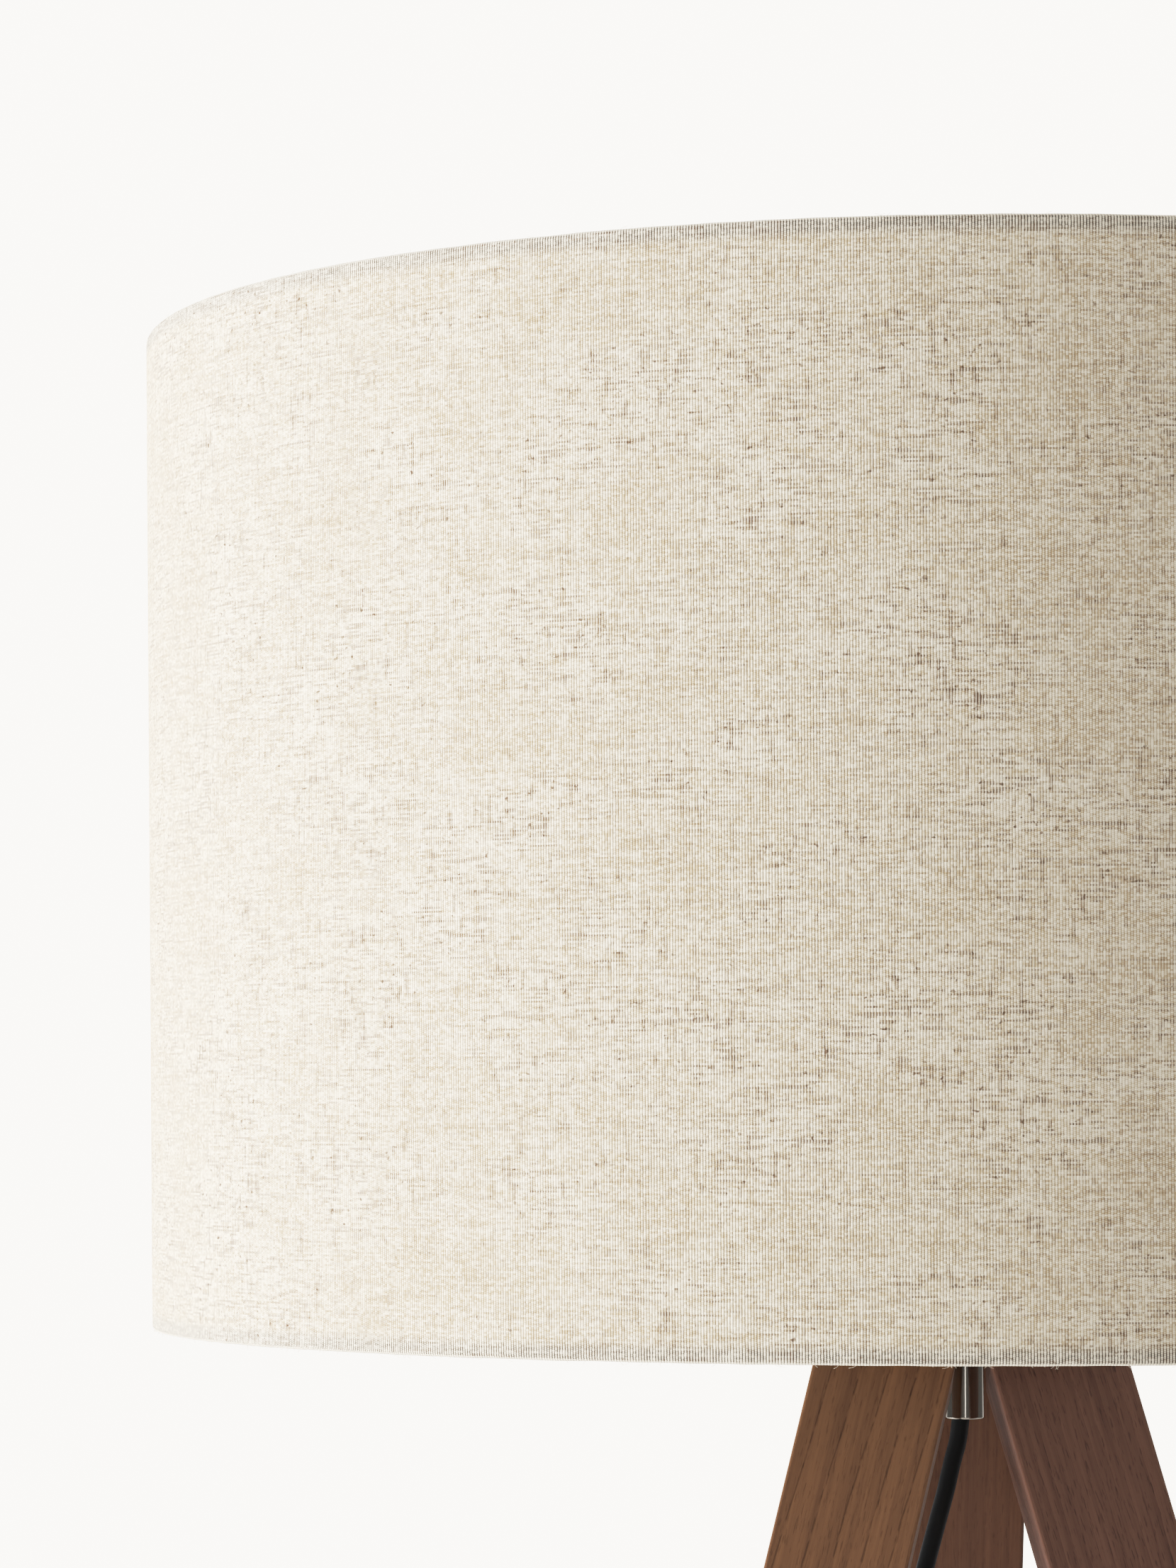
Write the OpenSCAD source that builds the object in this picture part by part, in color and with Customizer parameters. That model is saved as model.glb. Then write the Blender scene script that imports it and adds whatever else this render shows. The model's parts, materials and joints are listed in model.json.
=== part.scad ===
// Tripod floor lamp: a linen drum shade on a lampholder, over three leaning leg boards.
// Origin: on the floor, on the lamp's axis. +Z is up and the lamp's front faces -Y.

/* [Whole lamp] */
// Height of the shade's top rim above the floor
lamp_h = 1500; // [1450:5:1550]

/* [Shade] */
// Outer radius of the shade at its bottom rim
shade_r = 250; // [240:1:260]
// How much wider the top rim is than the bottom rim, on the radius
shade_flare = 3; // [0:1:5]
// Height of the shade
shade_h = 303; // [295:1:315]
// Thickness of the linen cover
cover_t = 1; // [0.8:0.1:1.2]
// Thickness of the stiff liner behind the cover, with its film of glue
liner_t = 0.6; // [0.4:0.1:0.8]
// Diameter of the two wire rings
wire_d = 4; // [3.6:0.1:4.2]
// Height of the folded hem inside each rim
hem_h = 12; // [10:1:16]

/* [Legs] */
// Width of a leg board
leg_w = 42.2; // [40:0.2:46]
// Thickness of a leg board
leg_t = 16; // [14:0.5:17]
// Radius of a leg board's eased edges
leg_edge = 1; // [0.8:0.2:3]
// How far a front leg runs sideways per unit of height
front_run_x = 0.2645; // [0.24:0.0005:0.29]
// How far a front leg runs forwards per unit of height
front_run_y = 0.22; // [0.2:0.005:0.24]
// How far the back leg runs backwards per unit of height
back_run = 0.30; // [0.28:0.005:0.32]
// Turn of each front board's face away from straight ahead
front_turn = 6; // [4:1:8]
// Gap between the upright inner edges of the two front boards
top_gap = 10.8; // [9:0.2:12]
// Height of the rubber foot pads
pad_h = 5; // [4:0.5:7]

/* [Hub] */
// Radius of the wooden hub
hub_r = 56; // [52:1:60]
// Height of the wooden hub
hub_h = 28; // [28:1:30]
// How far the hub's underside hangs below the shade's bottom rim
hub_drop = 4; // [2:1:6]

/* [Stem and ferrule] */
// Outer diameter of the threaded stem tube
stem_d = 10; // [10:0.1:10.4]
// Inner diameter of the threaded stem tube
stem_bore = 8; // [8:0.1:8.4]
// Outer diameter of the ferrule under the hub
ferrule_d = 12.3; // [12:0.1:13.4]
// How far the ferrule reaches below the shade's bottom rim
ferrule_drop = 29; // [27:1:32]

/* [Cord] */
// Diameter of the round cord
cord_d = 5.5; // [5:0.1:5.5]
// Radius of the coil at the middle of its turns
coil_r = 31; // [30:1:33]

/* [Foot switch] */
// Travel of the foot switch button
press = 2.5; // [1.5:0.5:3]
// Clearance around moving faces
clearance = 0.3; // [0.2:0.05:0.4]

/* [Hidden] */
$fn = 96;
eps = 0.05;
far = 800;

rim_z = lamp_h - shade_h;
hub_z = rim_z - hub_drop;
hub_top = hub_z + hub_h;
ferrule_z = rim_z - ferrule_drop;
cord_r = cord_d / 2;

// Legs: a point on each board's centre line, how it runs inwards going up, and its turn
LEFT = 0;
RIGHT = 1;
BACK = 2;
leg_z = rim_z - 20;
leg_x = 28.1;
front_y = -20;
back_y = 21;
LEG_AT = [[-leg_x, front_y, leg_z], [leg_x, front_y, leg_z], [0, back_y, leg_z]];
LEG_RUN = [[front_run_x, front_run_y], [-front_run_x, front_run_y], [0, -back_run]];
LEG_TURN = [-front_turn, front_turn, 0];

// A leg's run seen in its own turned frame, then its two tilts
function run_across(i) = LEG_RUN[i].x * cos(LEG_TURN[i]) + LEG_RUN[i].y * sin(LEG_TURN[i]);
function run_along(i) = LEG_RUN[i].y * cos(LEG_TURN[i]) - LEG_RUN[i].x * sin(LEG_TURN[i]);
function pitch(i) = -atan(run_along(i));
function bank(i) = atan(run_across(i) * cos(pitch(i)));

function turn_x(p, a) = [p.x, p.y * cos(a) - p.z * sin(a), p.y * sin(a) + p.z * cos(a)];
function turn_y(p, a) = [p.x * cos(a) + p.z * sin(a), p.y, p.z * cos(a) - p.x * sin(a)];
function turn_z(p, a) = [p.x * cos(a) - p.y * sin(a), p.x * sin(a) + p.y * cos(a), p.z];
// A point given across, through and along leg i, as a point of the lamp
function on_leg_point(i, p) =
    LEG_AT[i] + turn_z(turn_x(turn_y(p, bank(i)), pitch(i)), LEG_TURN[i]);
// The middle of leg i at height z
function leg_middle(i, z) = [
    LEG_AT[i].x + LEG_RUN[i].x * (z - leg_z),
    LEG_AT[i].y + LEG_RUN[i].y * (z - leg_z),
    z
];

// Leg screws: places across each board, and heights along it
SCREW_U = [[-13, 3], [-3, 13], [-15, 15]];
screw_r = 2.5;
screw_seat = 34;
screw_len = 62;
screw_head_r = 4.8;
screw_head_h = 4;
pad_screw_r = 1.5;
pad_screw_len = 14;

// Cord clips down the back of the left leg: the cord's place across and behind the board
clip_u = 12;
clip_lift = 0.75;
clip_v = leg_t / 2 + clip_lift + cord_r;
clip_h = 8;
clip_wall = 1.8;
clip_tab = 2;
clip_screw_u = 2;
clip_screw_r = 1.3;
CLIPS = [-295, -585, -875, -1165];

// Lampholder and bulb heights, up from the hub's top
cap_z = hub_top + 17;
shell_z = cap_z + 26;
shell_r = 19.5;
shell_h = 38;
insert_z = shell_z + 12;
ring_z = shell_z + 9;
spider_r = 29.5;
spider_t = 3;
globe_r = 30;
globe_z = shell_z + 87;
neck_z = shell_z + 39;
neck_top = globe_z - 25;

// Shade rings
bottom_ring_r = shade_r - cover_t - liner_t - wire_d / 2 - 0.2;
bottom_ring_z = rim_z + wire_d / 2 + 0.6;
top_ring_r = shade_r + shade_flare - cover_t - liner_t - wire_d / 2 - 0.3;
top_ring_z = lamp_h - wire_d / 2 - 0.6;
hem_t = 0.5;
glue_t = 0.1;
arm_from = [20, 0, ring_z + spider_t / 2];
arm_to = [bottom_ring_r, 0, bottom_ring_z];
ARMS = [30, 150, 270];

// The cord's route, given by hand: out of the ferrule and down to the first clip
exit_x = -1.2;
ROUTE_TOP = [
    [exit_x, 0, ferrule_z], [-2.2, -0.3, ferrule_z - 7], [-3.9, -1, ferrule_z - 13],
    [-6.2, -2.3, ferrule_z - 22], [-8.9, -4.3, ferrule_z - 31], [-13.4, -8, ferrule_z - 46],
    [-20.1, -13.7, ferrule_z - 68], [-33.1, -24.9, ferrule_z - 108],
    [-52.8, -41.8, ferrule_z - 168], [-72.6, -58.4, ferrule_z - 228]
];
// down the leg, as places along it
ROUTE_LEG = [-287, -303, -390, -480, -577, -593, -680, -770, -867, -883, -970, -1060, -1157, -1173];
// off the foot, over the floor and into the switch
lie_z = cord_r + eps;
switch_x = -170;
switch_y = -15;
switch_axis = 8;
ROUTE_FLOOR = [
    [-313, -258.5, 48], [-316, -261, 31], [-314.5, -259.8, 16], [-307.5, -254, 6],
    [-297, -245, lie_z], [-275, -225, lie_z], [-249, -197, lie_z], [-226, -165, lie_z],
    [-204, -135, lie_z], [-184, -113, 4.5], [-173, -96, 7.2], [switch_x, -84, switch_axis],
    [switch_x, -62, switch_axis], [switch_x, -41, switch_axis]
];
// from the switch to the coil, the coil's middle, and from the coil to the plug
coil_lift = 1.2;
coil_x = -60;
coil_y = 180;
coil_turns_wide = 3;
coil_lie = coil_lift + cord_r;
coil_out_r = coil_r + coil_turns_wide * cord_d / 2;
ROUTE_LINK = [
    [switch_x, 11, switch_axis], [switch_x, 32, switch_axis], [switch_x, 54, switch_axis],
    [-168.5, 68, 7], [-164, 84, 4.5], [-154, 101, lie_z], [-139, 117, lie_z],
    [-123, 133, lie_z], [-109, 150, 3.3], [-101.5, 166, coil_lie], [coil_x - coil_out_r, coil_y, coil_lie]
];
plug_x = -14;
plug_y = 94;
plug_axis = 7;
ROUTE_TAIL = [
    [coil_x + coil_out_r, coil_y, coil_lie + cord_d], [-20.5, 168, 9.2], [-19, 154, 7.6],
    [-16.5, 142, 7], [plug_x, 130, plug_axis], [plug_x, 118, plug_axis], [plug_x, plug_y, plug_axis]
];

// Foot switch: a flat oval case
case_r = 18;
case_wall = 2.4;
case_reach = 27;
case_split = 8;
case_h = 19;
button_r = 11;
button_rise = 4;
button_flange = 1.5;
boot_len = 20;
post_r = 3;
POSTS = [[8.6, 36], [-8.6, -36]];

// Plug
pin_gap = 18.6;
pin_r = 2;
pin_len = 19;
plug_len = 36;
plug_w = 34;
plug_t = 13.6;

// Places its children in the frame of leg i: across, through and along the board
module on_leg(i) {
    translate(LEG_AT[i])
        rotate([0, 0, LEG_TURN[i]])
            rotate([pitch(i), 0, 0])
                rotate([0, bank(i), 0])
                    children();
}

// A straight round rod between two points
module rod(p, q, r) {
    d = q - p;
    translate(p)
        rotate([0, acos(d.z / norm(d)), atan2(d.y, d.x)])
            cylinder(r = r, h = norm(d));
}

// A ring of rectangular section around the lamp's axis
module band(r_in, r_out, z, h) {
    translate([0, 0, z])
        difference() {
            cylinder(r = r_out, h = h);
            translate([0, 0, -1])
                cylinder(r = r_in, h = h + 2);
        }
}

// A wall that follows the shade's cone, from one depth behind its outer face to another
function shade_at(z) = shade_r + shade_flare * (z - rim_z) / shade_h;
module shade_wall(depth_out, depth_in, z0, z1) {
    rotate_extrude($fn = 180)
        polygon([
            [shade_at(z0) - depth_in, z0], [shade_at(z0) - depth_out, z0],
            [shade_at(z1) - depth_out, z1], [shade_at(z1) - depth_in, z1]
        ]);
}

module wire_ring(r, z, thick) {
    translate([0, 0, z])
        rotate_extrude($fn = 180)
            translate([r, 0])
                circle(r = thick, $fn = 32);
}

// Shade ------------------------------------------------------------------------------------

module shade_cover() {
    color("antiquewhite")
        shade_wall(0, cover_t, rim_z, lamp_h);
}

module shade_liner() {
    color("white")
        shade_wall(cover_t + glue_t, cover_t + liner_t, rim_z + 1, lamp_h - 1);
}

// The cover's turned edge: a thin floor under the wire ring and a band on its inner side
module hem(ring_r, edge_z, up) {
    band_r = ring_r - wire_d / 2 - 0.1;
    floor_out = shade_at(edge_z) - cover_t - eps;
    low = up > 0 ? edge_z : edge_z - hem_h;
    floor_z = up > 0 ? edge_z : edge_z - hem_t;
    band(band_r - hem_t, band_r, low, hem_h);
    band(band_r - hem_t, floor_out, floor_z, hem_t);
}

module arm(grow) {
    rod(arm_from, arm_to, wire_d / 2 + grow);
}

module shade_top_hem() {
    color("wheat")
        hem(top_ring_r, lamp_h, -1);
}

module shade_bottom_hem() {
    color("wheat")
        difference() {
            hem(bottom_ring_r, rim_z, 1);
            for (a = ARMS)
                rotate([0, 0, a])
                    arm(0.2);
        }
}

module shade_top_ring() {
    color("lightgray")
        wire_ring(top_ring_r, top_ring_z, wire_d / 2);
}

module shade_bottom_ring() {
    color("lightgray")
        wire_ring(bottom_ring_r, bottom_ring_z, wire_d / 2);
}

module spider_arms() {
    color("lightgray")
        difference() {
            for (a = ARMS)
                rotate([0, 0, a])
                    arm(0);
            translate([0, 0, ring_z - 20])
                cylinder(r = spider_r, h = 40);
            wire_ring(bottom_ring_r, bottom_ring_z, wire_d / 2);
            band(bottom_ring_r, bottom_ring_r + 5, rim_z - 5, 20);
        }
}

module spider_ring() {
    color("lightgray")
        band(shell_r + 0.7, spider_r, ring_z, spider_t);
}

// Legs and hub -----------------------------------------------------------------------------

module board_section() {
    for (x = [-1, 1])
        for (y = [-1, 1])
            translate([x * (leg_w / 2 - leg_edge), y * (leg_t / 2 - leg_edge)])
                circle(r = leg_edge, $fn = 32);
    square([leg_w - 2 * leg_edge, leg_t], center = true);
    square([leg_w, leg_t - 2 * leg_edge], center = true);
}

module leg_screw_shanks(i) {
    on_leg(i)
        for (u = SCREW_U[i])
            translate([u, 0, screw_seat - screw_len])
                cylinder(r = screw_r, h = screw_len);
}

// One board between its pad and the hub, with its screw holes
module leg(i) {
    difference() {
        intersection() {
            on_leg(i)
                translate([0, 0, -leg_z * 1.15])
                    linear_extrude(leg_z * 1.15 + 60)
                        board_section();
            translate([-far, -far, pad_h])
                cube([2 * far, 2 * far, hub_z - pad_h]);
        }
        leg_screw_shanks(i);
        translate([leg_middle(i, pad_h).x, leg_middle(i, pad_h).y, 0])
            cylinder(r = pad_screw_r, h = pad_screw_len + pad_h);
    }
}

// The space kept free between the upright inner edges of the front boards
module gap_cut() {
    translate([-top_gap / 2, -100, hub_z - 100])
        cube([top_gap, 200, 150]);
}

module leg_left_front() {
    color([0.47, 0.33, 0.22])
        difference() {
            leg(LEFT);
            gap_cut();
            translate([-top_gap / 2, -100, hub_z - 60])
                cube([60, 200, 100]);
            clip_screw_shanks();
        }
}

module leg_right_front() {
    color([0.33, 0.22, 0.18])
        difference() {
            leg(RIGHT);
            gap_cut();
            translate([top_gap / 2 - 60, -100, hub_z - 60])
                cube([60, 200, 100]);
        }
}

module leg_back() {
    color([0.37, 0.25, 0.2])
        leg(BACK);
}

module leg_screws() {
    tip = 5;
    color("silver")
        for (i = [LEFT, RIGHT, BACK])
            on_leg(i)
                for (u = SCREW_U[i])
                    translate([u, 0, 0]) {
                        translate([0, 0, screw_seat - screw_len + tip])
                            cylinder(r = screw_r, h = screw_len - tip);
                        translate([0, 0, screw_seat - screw_len])
                            cylinder(r1 = 0.4, r2 = screw_r, h = tip);
                        translate([0, 0, screw_seat])
                            cylinder(r = screw_head_r, h = screw_head_h);
                    }
}

module pad_outline() {
    square([26, 12], center = true);
    for (x = [-13, 13])
        translate([x, 0])
            circle(r = 6, $fn = 32);
}

module foot_pads() {
    color("dimgray")
        for (i = [LEFT, RIGHT, BACK])
            translate([leg_middle(i, pad_h).x, leg_middle(i, pad_h).y, 0])
                rotate([0, 0, LEG_TURN[i]])
                    difference() {
                        linear_extrude(pad_h)
                            pad_outline();
                        translate([0, 0, -1])
                            cylinder(r = pad_screw_r + 0.1, h = pad_h + 2);
                        translate([0, 0, -1])
                            cylinder(r = 4, h = pad_h / 2 + 1);
                    }
}

module pad_screws() {
    color("silver")
        for (i = [LEFT, RIGHT, BACK])
            translate([leg_middle(i, pad_h).x, leg_middle(i, pad_h).y, 0]) {
                translate([0, 0, pad_h / 2 - 1.5])
                    cylinder(r = 3.6, h = 1.5);
                translate([0, 0, pad_h / 2])
                    cylinder(r = pad_screw_r, h = pad_screw_len);
            }
}

module hub() {
    edge = 4;
    color([0.35, 0.24, 0.19])
        difference() {
            translate([0, 0, hub_z])
                rotate_extrude($fn = 128) {
                    square([hub_r - edge, hub_h]);
                    translate([0, edge])
                        square([hub_r, hub_h - 2 * edge]);
                    for (y = [edge, hub_h - edge])
                        translate([hub_r - edge, y])
                            intersection() {
                                circle(r = edge, $fn = 32);
                                translate([-1, -edge])
                                    square([edge + 1, 2 * edge]);
                            }
                }
            translate([0, 0, hub_z - 1])
                cylinder(r = stem_d / 2 + 0.1, h = hub_h + 2);
            for (i = [LEFT, RIGHT, BACK]) {
                leg_screw_shanks(i);
                on_leg(i)
                    for (u = SCREW_U[i])
                        translate([u, 0, screw_seat])
                            cylinder(r = screw_head_r + 0.4, h = 40);
            }
        }
}

// Stem and lampholder ----------------------------------------------------------------------

module ferrule() {
    r = ferrule_d / 2;
    lip = 0.7;
    color("gainsboro")
        rotate_extrude() {
            translate([stem_d / 2 + eps, ferrule_z + 7])
                square([r - stem_d / 2 - eps, hub_z - ferrule_z - 7]);
            translate([cord_r + 1.35, ferrule_z])
                square([r - cord_r - 1.35 - lip, 7]);
            translate([r - lip - 1, ferrule_z + lip])
                square([1 + lip, 7 - lip]);
            translate([r - lip, ferrule_z + lip])
                intersection() {
                    circle(r = lip, $fn = 32);
                    translate([0, -lip])
                        square([lip, lip]);
                }
        }
}

module stem_tube() {
    color("silver")
        band(stem_bore / 2, stem_d / 2, ferrule_z + 7.1, cap_z + 8 - ferrule_z - 7.1);
}

module stem_washer() {
    color("silver")
        band(stem_d / 2 + eps, 11, hub_top, 1.5);
}

module stem_nut() {
    color("silver")
        translate([0, 0, hub_top + 1.5])
            difference() {
                cylinder(r = 9.8, h = 5, $fn = 6);
                translate([0, 0, -1])
                    cylinder(r = stem_d / 2 + eps, h = 7);
            }
}

module holder_cap() {
    color([0.12, 0.12, 0.12])
        difference() {
            rotate_extrude()
                polygon([
                    [stem_d / 2 + eps, cap_z], [8, cap_z], [8.5, cap_z + 1], [8.5, cap_z + 9],
                    [15, cap_z + 11], [19, cap_z + 15], [shell_r + 0.8, cap_z + 20],
                    [shell_r + 0.8, shell_z], [16, shell_z], [16, cap_z + 16],
                    [12, cap_z + 12.6], [stem_d / 2 + eps, cap_z + 12.6]
                ]);
            translate([4, 0, cap_z + 5])
                rotate([0, 90, 0])
                    cylinder(r = 1.5, h = 10);
        }
}

module holder_grub_screw() {
    color("silver")
        difference() {
            translate([stem_d / 2 + 0.1, 0, cap_z + 5])
                rotate([0, 90, 0])
                    cylinder(r = 1.5, h = 4);
            translate([stem_d / 2 + 3, 0, cap_z + 5])
                rotate([0, 90, 0])
                    cylinder(r = 0.8, h = 3, $fn = 6);
        }
}

module cord_grip() {
    color("gray")
        difference() {
            translate([-7, -6, cap_z + 13])
                cube([14, 12, 5]);
            translate([exit_x, 0, cap_z])
                cylinder(r = cord_r + eps, h = 30);
        }
}

module cord_in_stem() {
    color([0.08, 0.08, 0.08])
        translate([exit_x, 0, ferrule_z])
            cylinder(r = cord_r, h = cap_z + 19.5 - ferrule_z);
}

module terminal_wires() {
    start_z = cap_z + 19.6;
    color("saddlebrown")
        for (s = [-1, 1])
            rod([exit_x + s * 1.3, 0, start_z + 0.6], [s * 8.4 + exit_x / 2, 0, shell_z - 3.4], 0.8);
}

module holder_shell() {
    color([0.12, 0.12, 0.12])
        rotate_extrude()
            polygon(concat(
                [[18.2, shell_z], [shell_r, shell_z]],
                [for (k = [0:5]) each [
                    [shell_r, shell_z + 3 + 5 * k], [shell_r - 0.5, shell_z + 4 + 5 * k],
                    [shell_r, shell_z + 5 + 5 * k]
                ]],
                [
                    [shell_r, shell_z + shell_h - 1], [shell_r - 1, shell_z + shell_h],
                    [16, shell_z + shell_h], [16, shell_z + shell_h - 1.6],
                    [18.2, shell_z + shell_h - 1.6]
                ]
            ));
}

module holder_insert() {
    color("ivory")
        difference() {
            union() {
                translate([0, 0, shell_z])
                    cylinder(r = 17.6, h = insert_z - shell_z);
                band(14.3, 16.6, insert_z - 1, shell_z + shell_h - 1.7 - insert_z + 1);
            }
            for (s = [-1, 1])
                translate([s * 10, 0, shell_z - 1])
                    cylinder(r = 1.6, h = 9);
        }
}

module holder_screw_shell() {
    color("gold")
        band(13.8, 14.25, insert_z + 0.1, 22);
}

module holder_contact() {
    color("gold")
        translate([0, 0, insert_z])
            cylinder(r = 4, h = 1.5);
}

module terminal_screws() {
    color("silver")
        for (s = [-1, 1])
            translate([s * 10, 0, shell_z - 2.4]) {
                cylinder(r = 3, h = 2.4);
                cylinder(r = 1.5, h = 9);
            }
}

// A threaded ring on the lampholder's shell, with grip notches around its rim
module grip_ring(r_out, z, h) {
    notches = 18;
    difference() {
        band(shell_r + 0.1, r_out, z, h);
        for (k = [0:notches - 1])
            rotate([0, 0, k * 360 / notches])
                translate([r_out + 0.5, 0, z - 1])
                    cylinder(r = 1.2, h = h + 2, $fn = 16);
    }
}

module lower_shade_ring() {
    color([0.12, 0.12, 0.12])
        grip_ring(24, ring_z - clearance - 5, 5);
}

module upper_shade_ring() {
    color([0.12, 0.12, 0.12])
        grip_ring(26, ring_z + spider_t + clearance, 5);
}

// Bulb -------------------------------------------------------------------------------------

module bulb_contact() {
    color("silver")
        translate([0, 0, insert_z + 1.5])
            cylinder(r = 4.5, h = 1);
}

module bulb_insulator() {
    color([0.1, 0.1, 0.1])
        translate([0, 0, insert_z + 2.5])
            cylinder(r1 = 5, r2 = 11.5, h = 3);
}

module bulb_cap() {
    low = insert_z + 5.5;
    high = neck_z;
    turns = 5;
    step = 3.6;
    color("silver")
        rotate_extrude()
            polygon(concat(
                [[0, low], [12.4, low]],
                [for (k = [0:turns - 1]) each [[13.4, low + 1.4 + k * step], [12.6, low + 3.2 + k * step]]],
                [[13.4, high], [0, high]]
            ));
}

module bulb_neck() {
    color("white")
        rotate_extrude()
            polygon([
                [0, neck_z], [14.4, neck_z], [15, neck_z + 3], [17.5, neck_top - 6],
                [18.4, neck_top], [0, neck_top]
            ]);
}

module bulb_globe() {
    color("whitesmoke")
        translate([0, 0, globe_z])
            difference() {
                sphere(r = globe_r);
                sphere(r = globe_r - 1.2);
                translate([-40, -40, -60])
                    cube([80, 80, 60 - globe_z + neck_top]);
            }
}

// Cord -------------------------------------------------------------------------------------

// A round tube of 10 sides through every point of a route
module tube(points, r) {
    sides = 10;
    last = len(points) - 1;
    aside = [1, -1, 0];
    function heading(k) =
        let (d = points[min(k + 1, last)] - points[max(k - 1, 0)]) d / norm(d);
    function across(k) = let (c = cross(heading(k), aside)) c / norm(c);
    ring_points = [
        for (k = [0:last])
            let (a = across(k), b = cross(heading(k), a))
                for (s = [0:sides - 1])
                    points[k] + r * (a * cos(s * 360 / sides) + b * sin(s * 360 / sides))
    ];
    walls = [
        for (k = [0:last - 1])
            for (s = [0:sides - 1])
                let (n = (s + 1) % sides, p = k * sides)
                    [p + s, p + n, p + n + sides, p + s + sides]
    ];
    start_face = [for (s = [sides - 1:-1:0]) s];
    end_face = [for (s = [0:sides - 1]) last * sides + s];
    polyhedron(ring_points, concat([start_face], walls, [end_face]), convexity = 4);
}

module cord_run() {
    down_leg = [for (h = ROUTE_LEG) on_leg_point(LEFT, [clip_u, clip_v, h])];
    color([0.08, 0.08, 0.08])
        tube(concat(ROUTE_TOP, down_leg, ROUTE_FLOOR), cord_r);
}

module cord_link() {
    color([0.08, 0.08, 0.08])
        tube(ROUTE_LINK, cord_r);
}

module cord_tail() {
    color([0.08, 0.08, 0.08])
        tube(ROUTE_TAIL, cord_r);
}

module cord_coil() {
    round = cord_r - 0.25;
    half = coil_turns_wide * cord_d / 2;
    color([0.08, 0.08, 0.08])
        difference() {
            translate([coil_x, coil_y, coil_lift])
                rotate_extrude() {
                    translate([coil_r - half, round])
                        square([2 * half, 2 * cord_d - 2 * round]);
                    translate([coil_r - half + round, 0])
                        square([2 * half - 2 * round, 2 * cord_d]);
                    for (x = [coil_r - half + round, coil_r + half - round])
                        for (y = [round, 2 * cord_d - round])
                            translate([x, y])
                                circle(r = round, $fn = 32);
                }
            coil_ends_cut();
        }
}

// Room in the coil's outline for the two stretches of cord that leave it
module coil_ends_cut() {
    grow = cord_r + 0.1;
    tube(ROUTE_LINK, grow);
    tube(ROUTE_TAIL, grow);
}

module coil_tie() {
    half = coil_turns_wide * cord_d / 2 + 0.6;
    wide = 10;
    strap = 1.1;
    top = coil_lift + 2 * cord_d + 0.3;
    color([0.15, 0.15, 0.15])
        translate([coil_x - wide / 2, coil_y - coil_r, 0])
            difference() {
                translate([0, -half - strap, 0])
                    cube([wide, 2 * half + 2 * strap, top + strap]);
                translate([-1, -half, strap])
                    cube([wide + 2, 2 * half, top - strap]);
            }
}

// One clip's section, seen along the leg: a wall around the cord and a tab for its screw
module clip_section() {
    outer = cord_r + clip_wall;
    back = leg_t / 2;
    difference() {
        union() {
            translate([clip_u, clip_v])
                circle(r = outer, $fn = 48);
            translate([clip_u - outer, back])
                square([2 * outer, clip_v - back]);
            translate([clip_screw_u - 4, back])
                square([clip_u - clip_screw_u, clip_tab]);
        }
        translate([clip_u, clip_v])
            circle(r = cord_r + 0.1, $fn = 48);
        translate([clip_u - 2 * outer, back - outer])
            square([4 * outer, outer]);
    }
}

module cord_clips() {
    color([0.12, 0.12, 0.12])
        on_leg(LEFT)
            for (h = CLIPS)
                translate([0, 0, h - clip_h / 2])
                    difference() {
                        linear_extrude(clip_h)
                            clip_section();
                        translate([clip_screw_u, 0, clip_h / 2])
                            rotate([-90, 0, 0])
                                cylinder(r = clip_screw_r + 0.1, h = 30);
                    }
}

module clip_screw_shanks() {
    on_leg(LEFT)
        for (h = CLIPS)
            translate([clip_screw_u, leg_t / 2 - 9, h])
                rotate([-90, 0, 0])
                    cylinder(r = clip_screw_r, h = 9 + clip_tab);
}

module clip_screws() {
    color("silver") {
        clip_screw_shanks();
        on_leg(LEFT)
            for (h = CLIPS)
                translate([clip_screw_u, leg_t / 2 + clip_tab, h])
                    rotate([-90, 0, 0])
                        cylinder(r = 2.8, h = 1.4);
    }
}

// Foot switch ------------------------------------------------------------------------------

module at_switch() {
    translate([switch_x, switch_y, 0])
        children();
}

module oval(r) {
    square([2 * r, 2 * case_reach], center = true);
    for (y = [-case_reach, case_reach])
        translate([0, y])
            circle(r = r);
}

module boot_holes() {
    for (s = [-1, 1])
        translate([0, s * (case_reach + case_r - 6), switch_axis])
            rotate([-90 * s, 0, 0])
                cylinder(r = 4.2, h = 12);
}

module switch_base() {
    color([0.1, 0.1, 0.1])
        at_switch()
            difference() {
                union() {
                    difference() {
                        linear_extrude(case_split)
                            oval(case_r);
                        translate([0, 0, 2])
                            linear_extrude(case_split)
                                oval(case_r - case_wall);
                    }
                    for (p = POSTS)
                        translate([p.x, p.y, 1])
                            cylinder(r = post_r, h = 3);
                }
                boot_holes();
                for (p = POSTS)
                    translate([p.x, p.y, -1]) {
                        cylinder(r = 1.5, h = 20);
                        cylinder(r = 2.6, h = 2.4);
                    }
            }
}

module switch_cover() {
    color([0.1, 0.1, 0.1])
        at_switch()
            difference() {
                union() {
                    difference() {
                        translate([0, 0, case_split]) {
                            linear_extrude(case_h - case_split - 1.5)
                                oval(case_r);
                            linear_extrude(case_h - case_split)
                                oval(case_r - 1.5);
                        }
                        translate([0, 0, case_split - 1])
                            linear_extrude(case_h - case_split - case_wall + 1)
                                oval(case_r - case_wall);
                    }
                    for (p = POSTS)
                        translate([p.x, p.y, 4])
                            cylinder(r = post_r, h = case_h - case_wall - 3.5);
                }
                boot_holes();
                cylinder(r = button_r + clearance, h = 40);
                for (p = POSTS)
                    translate([p.x, p.y, 0])
                        cylinder(r = 1.3, h = 13);
            }
}

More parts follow.
